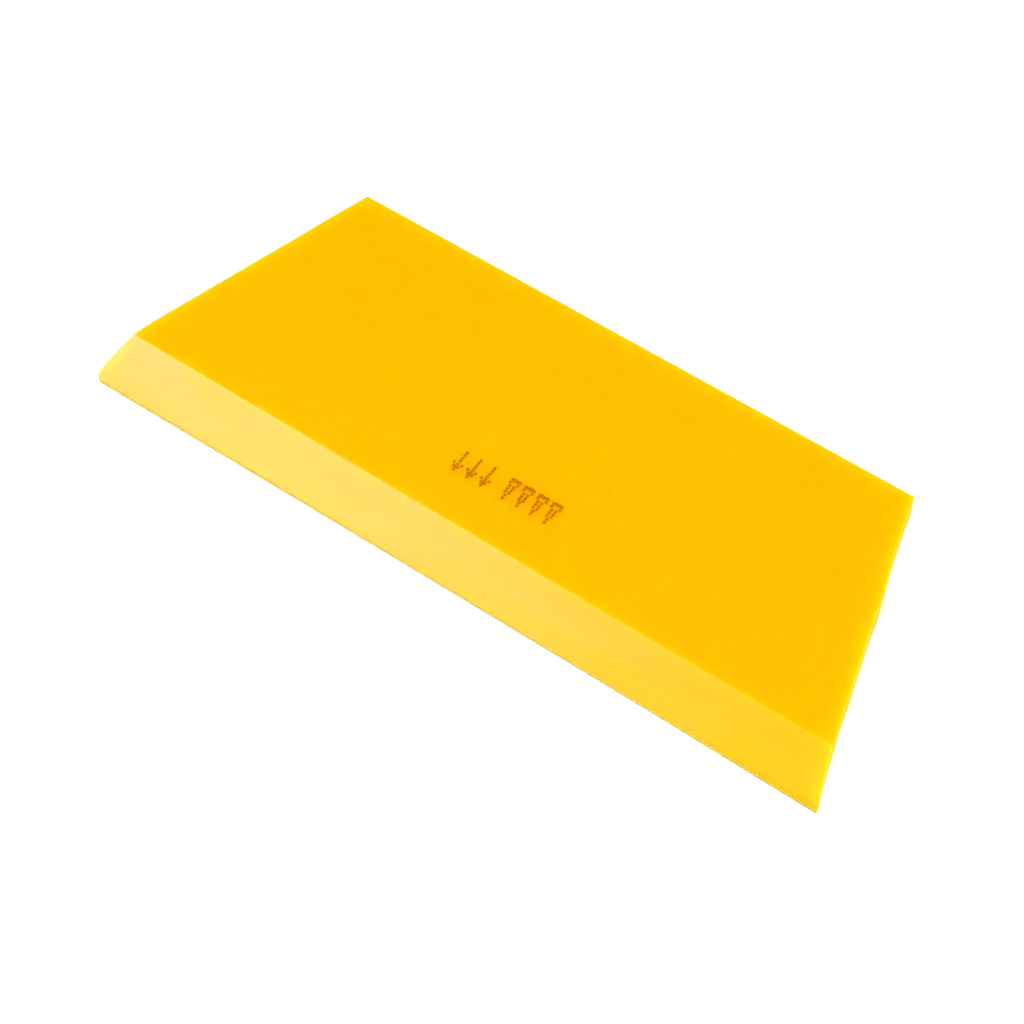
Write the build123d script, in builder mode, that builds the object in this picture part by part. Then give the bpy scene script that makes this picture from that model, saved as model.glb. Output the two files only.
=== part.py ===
"""Squeegee applicator: one flat trapezoid of cast polyurethane with a bevelled squeegee edge.

Frame: +X along the squeegee edge, -Y towards the squeegee edge, +Z up out of the top face.
Origin: middle of the length and of the depth, on the flat underside.
"""
from build123d import *
import os

# ---- driving dimensions, mm ----
LIP_LENGTH = 140.0  # front edge that wipes the film, tip to tip
BACK_LENGTH = 108.0  # back edge, held in the palm
DEPTH = 54.0  # front edge to back edge
THICKNESS = 6.0  # sheet the blade is cut from
BEVEL_WIDTH = 7.7  # how far back the bevel reaches across the top face
LIP_THICKNESS = 0.9  # what the bevel leaves at the front edge
TIP_RADIUS = 0.3  # vertical edges at the two ends of the lip
BACK_CORNER_RADIUS = 0.4  # vertical edges at the two back corners
RIDGE_RADIUS = 0.6  # where the bevel meets the top face
EDGE_BREAK = 0.1  # rims of the top face and the underside, knife sharp but not burred

# ---- worked-out places ----
FRONT_Y = -DEPTH / 2
BACK_Y = DEPTH / 2
RIDGE_Y = FRONT_Y + BEVEL_WIDTH
BEVEL_DROP = THICKNESS - LIP_THICKNESS

with BuildPart() as blade:
    # Plan: long front edge, shorter back edge, straight flared ends.
    with BuildSketch(Plane.XY) as plan:
        with BuildLine():
            Polyline(
                (-LIP_LENGTH / 2, FRONT_Y),
                (LIP_LENGTH / 2, FRONT_Y),
                (BACK_LENGTH / 2, BACK_Y),
                (-BACK_LENGTH / 2, BACK_Y),
                close=True,
            )
        make_face()
        fillet(plan.vertices().group_by(Axis.Y)[0], radius=TIP_RADIUS)
        fillet(plan.vertices().group_by(Axis.Y)[-1], radius=BACK_CORNER_RADIUS)
    extrude(amount=THICKNESS)

    # Bevel: everything above a slope that starts at the lip and leaves the top face at the ridge.
    with BuildSketch(Plane.YZ.offset(-LIP_LENGTH)):
        with BuildLine():
            Polyline(
                (FRONT_Y - BEVEL_WIDTH, LIP_THICKNESS - BEVEL_DROP),
                (RIDGE_Y + BEVEL_WIDTH, THICKNESS + BEVEL_DROP),
                (FRONT_Y - BEVEL_WIDTH, THICKNESS + BEVEL_DROP),
                close=True,
            )
        make_face()
    extrude(amount=2 * LIP_LENGTH, mode=Mode.SUBTRACT)

    # Softened ridge, then a hair's breadth off the rims of the two big faces.
    top_edges = blade.faces().sort_by(Axis.Z)[-1].edges()
    fillet(top_edges.sort_by(Axis.Y)[0], radius=RIDGE_RADIUS)
    underside = blade.faces().sort_by(Axis.Z)[0]
    top_face = blade.faces().filter_by(Axis.Z).sort_by(Axis.Z)[-1]
    rims = underside.edges() + top_face.edges().sort_by(Axis.Y)[1:]
    chamfer(rims, length=EDGE_BREAK)

blade.part.label = "blade"

os.makedirs("parts", exist_ok=True)
export_step(blade.part, "parts/blade.step")
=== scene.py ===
"""Looks of the squeegee applicator: one translucent yellow polyurethane blade with an ink mark.

Metres, in the frame of the CAD model: +X along the squeegee edge, -Y towards it, +Z up.
"""
import math
import random

import bmesh
import bpy
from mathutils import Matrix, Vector


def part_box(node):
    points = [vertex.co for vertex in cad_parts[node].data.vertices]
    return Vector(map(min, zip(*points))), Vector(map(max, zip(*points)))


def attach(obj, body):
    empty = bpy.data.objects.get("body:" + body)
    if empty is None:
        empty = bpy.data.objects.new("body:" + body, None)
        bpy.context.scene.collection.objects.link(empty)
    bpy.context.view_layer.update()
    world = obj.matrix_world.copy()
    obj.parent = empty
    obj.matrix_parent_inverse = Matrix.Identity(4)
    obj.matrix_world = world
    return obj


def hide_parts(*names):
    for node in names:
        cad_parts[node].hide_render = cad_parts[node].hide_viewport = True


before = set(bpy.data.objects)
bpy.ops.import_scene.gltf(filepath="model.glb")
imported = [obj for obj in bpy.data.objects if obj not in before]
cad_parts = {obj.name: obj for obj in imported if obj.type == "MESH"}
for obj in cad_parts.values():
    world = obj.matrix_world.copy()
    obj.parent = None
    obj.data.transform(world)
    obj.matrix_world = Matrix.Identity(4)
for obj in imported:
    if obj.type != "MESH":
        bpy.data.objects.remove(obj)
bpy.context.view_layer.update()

MM = 0.001

# ---- the blade's sizes, from its CAD box and its design ----
LOW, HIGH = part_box("blade")
FRONT_Y, BACK_Y, TOP_Z = LOW.y, HIGH.y, HIGH.z
LIP_HALF = 70.0 * MM
BACK_HALF = 54.0 * MM
BEVEL_WIDTH = 7.7 * MM
LIP_THICKNESS = 0.9 * MM
LEFT_TIP_RADIUS = 1.1 * MM
RIGHT_TIP_RADIUS = 0.3 * MM
RIDGE_Y = FRONT_Y + BEVEL_WIDTH
BEVEL_NORMAL = Vector((0.0, LIP_THICKNESS - TOP_Z, BEVEL_WIDTH)).normalized()

# ---- how finely the blade is built, and how its edges are broken ----
TIP_STEPS = 8  # along the round of one tip
LIP_STEPS = 24  # along half of the lip
CUT_STEPS = 57  # along one flared end
CUT_SHARE = 0.95  # this much of a flared end, from the heel, lies clear of the tip's round
RIDGE_OFFSET = 0.15 * MM
RIDGE_SEGMENTS = 4
RIM_OFFSET = 0.12 * MM
RIM_SEGMENTS = 3
RIM_ANGLE = math.radians(40)  # edges that turn more than this are rims
ON_RIDGE = 0.001 * MM  # how far from the ridge a point may lie and still be on it

# ---- the blade's finishes, in the order of its material slots ----
SHEET, GROUND, CUT, LIP = range(4)
BEVEL_FACING = 0.96  # least cosine between a bevel face and the bevel's own normal
SQUARE_FACING = 0.8  # least cosine between a face and the axis that it counts as facing

# ---- colours: the polyurethane under its surface, some with painted sheen and glow, and the ink ----
SHEET_PALE = (0.97, 0.468, 0.0)
SHEET_DEEP = (0.97, 0.446, 0.0)
GROUND_PALE = (0.97, 0.454, 0.0)
GROUND_DEEP = (0.97, 0.446, 0.0)
# painted sheen: a pale milky tint standing in for patches of the front-left softbox's reflection on the
# bevel
PAINTED_SHEEN = (0.97, 0.45, 0.035)
# painted glow: a greener tint standing in for light that comes through the bevel where it is thin
THIN_EDGE_GLOW = (0.97, 0.53, 0.0)
CUT_PALE = (0.97, 0.455, 0.0)
CUT_DEEP = (0.97, 0.435, 0.0)
DRAG_LINE = (0.97, 0.485, 0.008)
# painted glow: the lip's greener colours stand in for light that comes through the thin edge and lift
# its shade
LIP_GLOW_PALE = (0.86, 0.55, 0.0)
LIP_GLOW_DEEP = (0.86, 0.53, 0.0)
STRONG_INK = (0.44, 0.12, 0.0)
THIN_INK = (0.56, 0.17, 0.0)
PAPER = (0.95, 0.95, 0.95)

# ---- the ink mark: dot-matrix columns and rows, and the dots themselves ----
MARK_CENTRE = Vector((0.5 * MM, -9.0 * MM, TOP_Z))
MARK_COLUMN = 0.385 * MM
MARK_ROW = 0.65 * MM
DOT_RADIUS = 0.24 * MM
DOT_STRETCH = 1.3  # a dot is this much longer along its column than it is wide
DOT_HEIGHT = 0.02 * MM
DOT_STRAY = 0.02 * MM  # standard deviation of a dot's place
DOT_SIDES = 14
DOME = ((1.0, -0.5), (1.0, 0.3), (0.72, 0.8), (0.3, 1.0))  # rings: share of radius, share of height
ARROW = (
    "..#..",
    "..#..",
    "..#..",
    "..#..",
    "#.#.#",
    ".###.",
    "..#..",
)
TRIANGLE = (
    "#####",
    "#...#",
    ".#.#.",
    ".#.#.",
    ".#.#.",
    "..#..",
    "..#..",
)
SIGN_ROW = (ARROW, ARROW, ARROW, None, TRIANGLE, TRIANGLE, TRIANGLE, TRIANGLE)
SIGN_COLUMNS = 7
GAP_COLUMNS = 4
DROPLETS_PER_DOT = 3
DROPLET_RADIUS = 0.05 * MM
DROPLET_REACH = 0.22 * MM
INK_SEED = 5

# ---- camera and studio ----
CAMERA_AZIMUTH = math.radians(35.34)
CAMERA_ELEVATION = math.radians(55.48)
CAMERA_DISTANCE = 438.8 * MM
CAMERA_TARGET = Vector((2.9 * MM, -10.6 * MM, TOP_Z / 2))
CAMERA_CLIP_START = 0.01
LENS_MM = 96.96
SENSOR_MM = 36.0
WALL_TOP = 0.25  # sine of the elevation at which the bright walls have faded into the ceiling
WALL_BRIGHTNESS = 2.3
FLOOR_RADIUS = 0.2
FLOOR_SIDES = 128

# ---- numbers of the sockets on a colour Mix node, whose names are not unique ----
MIX_FACTOR, MIX_FIRST, MIX_SECOND = 0, 6, 7
MIX_RESULT = 2


# ---------------------------------------------------------------- camera, light and floor


def add_camera():
    """A long lens, looking down on the blade from the front right."""
    back = Vector(
        (
            math.sin(CAMERA_AZIMUTH) * math.cos(CAMERA_ELEVATION),
            -math.cos(CAMERA_AZIMUTH) * math.cos(CAMERA_ELEVATION),
            math.sin(CAMERA_ELEVATION),
        )
    )
    data = bpy.data.cameras.new("camera")
    data.lens = LENS_MM
    data.sensor_width = SENSOR_MM
    data.clip_start = CAMERA_CLIP_START
    camera = bpy.data.objects.new("camera", data)
    camera.location = CAMERA_TARGET + back * CAMERA_DISTANCE
    camera.rotation_mode = "QUATERNION"
    camera.rotation_quaternion = (-back).to_track_quat("-Z", "Y")
    bpy.context.scene.collection.objects.link(camera)
    bpy.context.scene.camera = camera


def add_softbox(name, place, size, radiance):
    """A square softbox at place, aimed at the blade, as bright as radiance over its whole face."""
    data = bpy.data.lights.new(name, "AREA")
    data.shape = "SQUARE"
    data.size = size
    data.energy = radiance * math.pi * size**2
    light = bpy.data.objects.new(name, data)
    light.location = place
    light.rotation_mode = "QUATERNION"
    light.rotation_quaternion = (-Vector(place)).to_track_quat("-Z", "Y")
    bpy.context.scene.collection.objects.link(light)


def add_world():
    """A white room with a dark ceiling: bright walls low down, and white past the floor's far edge."""
    world = bpy.data.worlds.new("studio")
    bpy.context.scene.world = world
    world.use_nodes = True
    nodes, links = world.node_tree.nodes, world.node_tree.links
    nodes.clear()
    direction = nodes.new("ShaderNodeTexCoord")
    split = nodes.new("ShaderNodeSeparateXYZ")
    walls = nodes.new("ShaderNodeMapRange")
    walls.interpolation_type = "SMOOTHSTEP"
    walls.inputs["From Min"].default_value = WALL_TOP
    walls.inputs["From Max"].default_value = 0.0
    walls.inputs["To Min"].default_value = 0.0
    walls.inputs["To Max"].default_value = WALL_BRIGHTNESS
    path = nodes.new("ShaderNodeLightPath")
    brightest = nodes.new("ShaderNodeMath")
    brightest.operation = "MAXIMUM"
    background = nodes.new("ShaderNodeBackground")
    background.inputs["Color"].default_value = (1.0, 1.0, 1.0, 1.0)
    output = nodes.new("ShaderNodeOutputWorld")
    links.new(direction.outputs["Generated"], split.inputs["Vector"])
    links.new(split.outputs["Z"], walls.inputs["Value"])
    links.new(walls.outputs["Result"], brightest.inputs[0])
    links.new(path.outputs["Is Camera Ray"], brightest.inputs[1])
    links.new(brightest.outputs["Value"], background.inputs["Strength"])
    links.new(background.outputs["Background"], output.inputs["Surface"])


def add_floor():
    """A wide round sheet of plain white paper under the blade."""
    bm = bmesh.new()
    bmesh.ops.create_circle(bm, cap_ends=True, radius=FLOOR_RADIUS, segments=FLOOR_SIDES)
    mesh = bpy.data.meshes.new("floor")
    bm.to_mesh(mesh)
    bm.free()
    floor = bpy.data.objects.new("floor", mesh)
    bpy.context.scene.collection.objects.link(floor)
    material = bpy.data.materials.new("floor_paper")
    material.use_nodes = True
    shader = material.node_tree.nodes["Principled BSDF"]
    shader.inputs["Base Color"].default_value = (*PAPER, 1.0)
    shader.inputs["Roughness"].default_value = 0.9
    shader.inputs["Specular IOR Level"].default_value = 0.0
    mesh.materials.append(material)


# ---------------------------------------------------------------- materials


class Surface:
    """A Principled material with the small helpers that all the surfaces here share."""

    def __init__(self, name):
        self.material = bpy.data.materials.new(name)
        self.material.use_nodes = True
        self.tree = self.material.node_tree
        self.shader = self.tree.nodes["Principled BSDF"]
        self.place = self.tree.nodes.new("ShaderNodeTexCoord").outputs["Object"]

    def link(self, source, target):
        self.tree.links.new(source, target)

    def set_value(self, socket, value):
        """Gives a shader socket one value for the whole surface."""
        self.shader.inputs[socket].default_value = value

    def noise(self, per_metre, detail, roughness, seed):
        """Noise from 0 to 1 with per_metre waves in a metre along X, Y and Z."""
        mapping = self.tree.nodes.new("ShaderNodeMapping")
        mapping.inputs["Scale"].default_value = per_metre
        mapping.inputs["Location"].default_value = (seed, seed, seed)
        self.link(self.place, mapping.inputs["Vector"])
        texture = self.tree.nodes.new("ShaderNodeTexNoise")
        texture.inputs["Scale"].default_value = 1.0
        texture.inputs["Detail"].default_value = detail
        texture.inputs["Roughness"].default_value = roughness
        self.link(mapping.outputs["Vector"], texture.inputs["Vector"])
        return texture.outputs["Fac"]

    def ramp(self, value, low, high, to_low, to_high):
        """Value between low and high, smoothly stretched to run from to_low to to_high."""
        stretch = self.tree.nodes.new("ShaderNodeMapRange")
        stretch.interpolation_type = "SMOOTHSTEP"
        stretch.inputs["From Min"].default_value = low
        stretch.inputs["From Max"].default_value = high
        stretch.inputs["To Min"].default_value = to_low
        stretch.inputs["To Max"].default_value = to_high
        self.link(value, stretch.inputs["Value"])
        return stretch.outputs["Result"]

    def across(self, axis, start, end, to_start, to_end):
        """A value that runs from to_start where the axis is at start to to_end where it is at end."""
        split = self.tree.nodes.new("ShaderNodeSeparateXYZ")
        self.link(self.place, split.inputs["Vector"])
        return self.ramp(split.outputs[axis], start, end, to_start, to_end)

    def combine(self, operation, first, second):
        """Two values put together by a Math node's operation."""
        math_node = self.tree.nodes.new("ShaderNodeMath")
        math_node.operation = operation
        self.link(first, math_node.inputs[0])
        self.link(second, math_node.inputs[1])
        return math_node.outputs["Value"]

    def mix_towards(self, factor, colour):
        """A colour Mix node that gives the colour where factor is 1."""
        mix = self.tree.nodes.new("ShaderNodeMix")
        mix.data_type = "RGBA"
        mix.inputs[MIX_SECOND].default_value = (*colour, 1.0)
        self.link(factor, mix.inputs[MIX_FACTOR])
        return mix

    def paint(self, factor, first, second):
        """Gives the surface colour first where factor is 0 and second where it is 1."""
        mix = self.mix_towards(factor, second)
        mix.inputs[MIX_FIRST].default_value = (*first, 1.0)
        self.link(mix.outputs[MIX_RESULT], self.shader.inputs["Base Color"])

    def tint(self, factor, colour):
        """Mixes a colour by factor into the base colour that the surface has so far."""
        base = self.shader.inputs["Base Color"]
        mix = self.mix_towards(factor, colour)
        self.link(base.links[0].from_socket, mix.inputs[MIX_FIRST])
        self.link(mix.outputs[MIX_RESULT], base)

    def roughen(self, value, least, most):
        """Lets the roughness follow a noise value, from least to most."""
        self.link(self.ramp(value, 0.3, 0.7, least, most), self.shader.inputs["Roughness"])

    def bump(self, height, depth):
        """Adds a relief of the given depth in metres on top of any relief already there."""
        bump = self.tree.nodes.new("ShaderNodeBump")
        bump.inputs["Distance"].default_value = depth
        self.link(height, bump.inputs["Height"])
        normal = self.shader.inputs["Normal"]
        if normal.is_linked:
            self.link(normal.links[0].from_socket, bump.inputs["Normal"])
        self.link(bump.outputs["Normal"], normal)


def polyurethane(name, pale, deep):
    """Translucent yellow polyurethane: faintly clouded, and deeper towards +X, a painted shade that
    evens out the top softbox's stronger light on that end.
    """
    surface = Surface(name)
    # painted shade: the base colour deepens towards +X to even out the top softbox's stronger light
    # there
    painted_shade_along_x = surface.across("X", -LIP_HALF, LIP_HALF, 0.0, 0.7)
    cloud_noise = surface.noise((30.0, 30.0, 30.0), detail=2.0, roughness=0.5, seed=0.0)
    clouds = surface.ramp(cloud_noise, 0.3, 0.7, 0.0, 0.2)
    surface.paint(surface.combine("ADD", painted_shade_along_x, clouds), pale, deep)
    surface.set_value("Subsurface Weight", 1.0)
    surface.set_value("Subsurface Radius", (0.5, 0.75, 0.05))
    surface.set_value("Subsurface Scale", 10.0 * MM)
    surface.set_value("IOR", 1.5)
    return surface


def sheet_face():
    """Top and underside: the smooth faces of the sheet, satin, with a faint orange peel."""
    surface = polyurethane("polyurethane_sheet", SHEET_PALE, SHEET_DEEP)
    haze = surface.noise((120.0, 120.0, 120.0), detail=4.0, roughness=0.6, seed=3.0)
    surface.roughen(haze, 0.18, 0.24)
    peel = surface.noise((900.0, 900.0, 900.0), detail=2.0, roughness=0.5, seed=5.0)
    surface.bump(peel, 0.004 * MM)
    return surface.material


def ground_face():
    """Bevel: ground lengthwise, with fine streaks, milky patches of painted sheen that fade towards +X
    as the front-left softbox's reflection does, and a painted greener glow where it is thin, standing in
    for light that comes through the thin edge.
    """
    surface = polyurethane("polyurethane_ground", GROUND_PALE, GROUND_DEEP)
    # painted sheen: milky patches that stand in for the softbox's patchy reflection, fading towards +X
    # as that reflection does
    sheen_noise = surface.noise((45.0, 90.0, 90.0), detail=2.0, roughness=0.5, seed=47.0)
    sheen_patches = surface.ramp(sheen_noise, 0.4, 0.6, 0.0, 1.0)
    sheen_fading = surface.across("X", -LIP_HALF, LIP_HALF / 2, 1.0, 0.0)
    surface.tint(surface.combine("MULTIPLY", sheen_patches, sheen_fading), PAINTED_SHEEN)
    # painted glow: greener towards the lip, standing in for light that comes through the thin part of
    # the bevel
    painted_thin_glow = surface.across("Y", FRONT_Y, RIDGE_Y - 1.5 * MM, 0.5, 0.0)
    surface.tint(painted_thin_glow, THIN_EDGE_GLOW)
    patches = surface.noise((60.0, 150.0, 150.0), detail=3.0, roughness=0.55, seed=7.0)
    surface.roughen(patches, 0.225, 0.265)
    waves = surface.noise((45.0, 160.0, 160.0), detail=1.0, roughness=0.4, seed=11.0)
    surface.bump(waves, 0.2 * MM)
    streaks = surface.noise((150.0, 5000.0, 5000.0), detail=3.0, roughness=0.6, seed=13.0)
    surface.bump(streaks, 0.002 * MM)
    return surface.material


def cut_face():
    """Ends and back edge: knife-cut through the sheet, with fine upright drag lines."""
    surface = polyurethane("polyurethane_cut", CUT_PALE, CUT_DEEP)
    surface.set_value("Specular IOR Level", 0.01)
    drag = surface.noise((1800.0, 1800.0, 90.0), detail=4.0, roughness=0.65, seed=17.0)
    surface.tint(surface.ramp(drag, 0.4, 0.65, 0.0, 1.0), DRAG_LINE)
    surface.roughen(drag, 0.32, 0.48)
    surface.bump(drag, 0.012 * MM)
    dents = surface.noise((250.0, 250.0, 60.0), detail=2.0, roughness=0.5, seed=19.0)
    surface.bump(dents, 0.03 * MM)
    return surface.material


def lip_face():
    """Front of the lip: ground like the bevel, with a painted greener glow standing in for light that
    comes through the thin edge.
    """
    surface = polyurethane("polyurethane_lip", LIP_GLOW_PALE, LIP_GLOW_DEEP)
    streaks = surface.noise((150.0, 5000.0, 5000.0), detail=3.0, roughness=0.6, seed=29.0)
    surface.roughen(streaks, 0.225, 0.265)
    surface.bump(streaks, 0.002 * MM)
    return surface.material


def ink():
    """Brown coding ink, strong in some places and thin in others."""
    surface = Surface("ink_dots")
    strength = surface.noise((2500.0, 2500.0, 2500.0), detail=2.0, roughness=0.5, seed=23.0)
    surface.paint(surface.ramp(strength, 0.3, 0.7, 0.0, 1.0), STRONG_INK, THIN_INK)
    surface.set_value("Roughness", 0.6)
    surface.set_value("Specular IOR Level", 0.0)
    surface.bump(strength, 0.005 * MM)
    return surface.material


# ---------------------------------------------------------------- the blade


def tip_arc(corner, radius, end_direction, side):
    """Points that round a tip of the plan, from the front edge to the flared end."""
    opening = math.acos(abs(end_direction.normalized().x))
    reach = radius / math.tan(opening / 2)
    centre = Vector((corner.x - side * reach, corner.y + radius))
    sweep = math.pi - opening
    arc = []
    for step in range(TIP_STEPS + 1):
        angle = sweep * step / TIP_STEPS
        arc.append(centre + radius * Vector((side * math.sin(angle), -math.cos(angle))))
    return arc


def swell(place, centre, width, height):
    """A smooth bump of the given height, in millimetres, round a centre."""
    return MM * height * math.exp(-(((place - centre) / width) ** 2))


def left_wander(along):
    """How far outwards the knife strayed on the left end cut, from the heel (0) to the tip (1)."""
    bow = 0.08 * MM * math.sin(math.pi * along)
    near_heel = swell(along, centre=0.1, width=0.15, height=0.12)
    at_ridge = swell(along, centre=0.86, width=0.035, height=-0.25)
    at_tip = swell(along, centre=1.0, width=0.07, height=0.2)
    return bow + near_heel + at_ridge + at_tip


def right_wander(along):
    """How far outwards the knife strayed on the right end cut, from the heel (0) to the tip (1)."""
    outwards = 0.1 * MM
    at_heel = swell(along, centre=0.0, width=0.025, height=0.3)
    past_heel = swell(along, centre=0.06, width=0.035, height=0.1)
    belly = swell(along, centre=0.355, width=0.07, height=0.28)
    hollow = swell(along, centre=0.76, width=0.08, height=-0.17)
    at_tip = swell(along, centre=1.0, width=0.05, height=0.4)
    return outwards + at_heel + past_heel + belly + hollow + at_tip


def lip_wander(x):
    """How far outwards the lip bows: hardly at all, but a little more at the tips."""
    place = x / LIP_HALF
    left = swell(place, centre=-1.0, width=0.4, height=0.15)
    right = swell(place, centre=1.0, width=0.3, height=0.3)
    return left + right


def end_outline(side, radius, wander):
    """One end of the plan, from the middle of the lip round the tip and back to the heel."""
    tip = Vector((side * LIP_HALF, FRONT_Y))
    heel = Vector((side * BACK_HALF, BACK_Y))

    def cut_point(along):
        return heel.lerp(tip, along) + Vector((side * wander(along), 0.0))

    corner = cut_point(1.0) - Vector((0.0, lip_wander(tip.x)))
    beside = cut_point(CUT_SHARE)
    arc = tip_arc(corner, radius, beside - corner, side)
    points = []
    for step in range(LIP_STEPS):
        x = arc[0].x * step / LIP_STEPS
        points.append(Vector((x, FRONT_Y - lip_wander(x))))
    points += arc
    points += [cut_point(CUT_SHARE * (1 - step / CUT_STEPS)) for step in range(CUT_STEPS + 1)]
    return points


def finish_of(face):
    """Which of the blade's finishes a face has, from the way it faces."""
    if face.normal.dot(BEVEL_NORMAL) > BEVEL_FACING:
        return GROUND
    if face.normal.y < -SQUARE_FACING:
        return LIP
    if abs(face.normal.z) > SQUARE_FACING:
        return SHEET
    return CUT


def is_on_ridge(edge):
    return all(
        abs(vert.co.z - TOP_Z) < ON_RIDGE and abs(vert.co.y - RIDGE_Y) < ON_RIDGE
        for vert in edge.verts
    )


def round_edges(bm, edges, offset, segments):
    bmesh.ops.bevel(bm, geom=edges, offset=offset, segments=segments, profile=0.5, affect="EDGES")


def build_blade():
    """A prism of the plan, ground to the bevel, with its edges broken."""
    bm = bmesh.new()
    right_end = end_outline(1, RIGHT_TIP_RADIUS, right_wander)
    left_end = end_outline(-1, LEFT_TIP_RADIUS, left_wander)
    outline = right_end + left_end[:0:-1]
    plan = bm.faces.new([bm.verts.new((point.x, point.y, 0.0)) for point in outline])
    lifted = bmesh.ops.extrude_face_region(bm, geom=[plan])["geom"]
    for vert in lifted:
        if isinstance(vert, bmesh.types.BMVert):
            vert.co.z = TOP_Z

    everything = bm.verts[:] + bm.edges[:] + bm.faces[:]
    ridge_point = (0.0, RIDGE_Y, TOP_Z)
    cut = bmesh.ops.bisect_plane(
        bm, geom=everything, plane_co=ridge_point, plane_no=BEVEL_NORMAL, clear_outer=True
    )
    cut_edges = [item for item in cut["geom_cut"] if isinstance(item, bmesh.types.BMEdge)]
    bmesh.ops.edgeloop_fill(bm, edges=cut_edges)
    bmesh.ops.recalc_face_normals(bm, faces=bm.faces)

    ridge = [edge for edge in bm.edges if is_on_ridge(edge)]
    round_edges(bm, ridge, RIDGE_OFFSET, RIDGE_SEGMENTS)
    rims = [edge for edge in bm.edges if edge.calc_face_angle() > RIM_ANGLE]
    round_edges(bm, rims, RIM_OFFSET, RIM_SEGMENTS)
    for face in bm.faces:
        face.smooth = True
        face.material_index = finish_of(face)

    mesh = bpy.data.meshes.new("blade_body")
    bm.to_mesh(mesh)
    bm.free()
    for material in (sheet_face(), ground_face(), cut_face(), lip_face()):
        mesh.materials.append(material)
    blade = bpy.data.objects.new("blade_body", mesh)
    bpy.context.scene.collection.objects.link(blade)
    blade.modifiers.new("flat_faces", "WEIGHTED_NORMAL")
    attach(blade, "root")
    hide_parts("blade")


# ---------------------------------------------------------------- the ink mark


def mark_dots():
    """(column, row) of every dot: arrows to the lip, a gap, then triangles to the lip."""
    dots = []
    start = 0
    for sign in SIGN_ROW:
        if sign is None:
            start += GAP_COLUMNS
            continue
        for row, line in enumerate(sign):
            dots += [(start + column, row) for column, dot in enumerate(line) if dot == "#"]
        start += SIGN_COLUMNS
    return dots


def add_dot(bm, centre, radius, stretch, height):
    """One low domed drop of ink, let into the surface by half its height."""
    rings = []
    for share, level in DOME:
        ring = []
        for side in range(DOT_SIDES):
            angle = 2 * math.pi * side / DOT_SIDES
            offset = Vector((math.cos(angle), stretch * math.sin(angle), 0.0)) * radius * share
            ring.append(bm.verts.new(centre + offset + Vector((0.0, 0.0, height * level))))
        rings.append(ring)
    bm.faces.new(rings[0][::-1])
    bm.faces.new(rings[-1])
    for lower, upper in zip(rings, rings[1:]):
        for side in range(DOT_SIDES):
            after = (side + 1) % DOT_SIDES
            bm.faces.new((lower[side], lower[after], upper[after], upper[side]))


def add_droplet(bm, dot_centre, chance):
    """One speck of the spray round a dot."""
    angle = chance.uniform(0, 2 * math.pi)
    reach = DOT_RADIUS + DROPLET_REACH * chance.random()
    away = Vector((math.cos(angle), math.sin(angle), 0.0)) * reach
    radius = DROPLET_RADIUS * chance.uniform(0.5, 1.0)
    add_dot(bm, dot_centre + away, radius, stretch=1.0, height=DOT_HEIGHT / 2)


def build_mark():
    """The ink mark: dots that each land a little off their place, and the spray around them."""
    chance = random.Random(INK_SEED)
    dots = mark_dots()
    last_column = max(column for column, _ in dots)
    last_row = max(row for _, row in dots)
    bm = bmesh.new()
    for column, row in dots:
        x = (column - last_column / 2) * MARK_COLUMN + chance.gauss(0, DOT_STRAY)
        y = (last_row / 2 - row) * MARK_ROW + chance.gauss(0, DOT_STRAY)
        centre = MARK_CENTRE + Vector((x, y, 0.0))
        radius = DOT_RADIUS * chance.uniform(0.9, 1.1)
        add_dot(bm, centre, radius, DOT_STRETCH, DOT_HEIGHT)
        for _ in range(DROPLETS_PER_DOT):
            add_droplet(bm, centre, chance)
    for face in bm.faces:
        face.smooth = True
    mesh = bpy.data.meshes.new("ink_mark")
    bm.to_mesh(mesh)
    bm.free()
    mesh.materials.append(ink())
    mark = bpy.data.objects.new("ink_mark", mesh)
    bpy.context.scene.collection.objects.link(mark)
    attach(mark, "root")


# ---------------------------------------------------------------- scene

bpy.context.scene.view_settings.view_transform = "Standard"
add_camera()
add_world()
add_floor()
add_softbox("front_left_softbox", place=(-0.42, -0.44, 0.56), size=0.40, radiance=4.25)
add_softbox("top_softbox", place=(0.36, -0.22, 0.92), size=0.60, radiance=12.0)
build_blade()
build_mark()
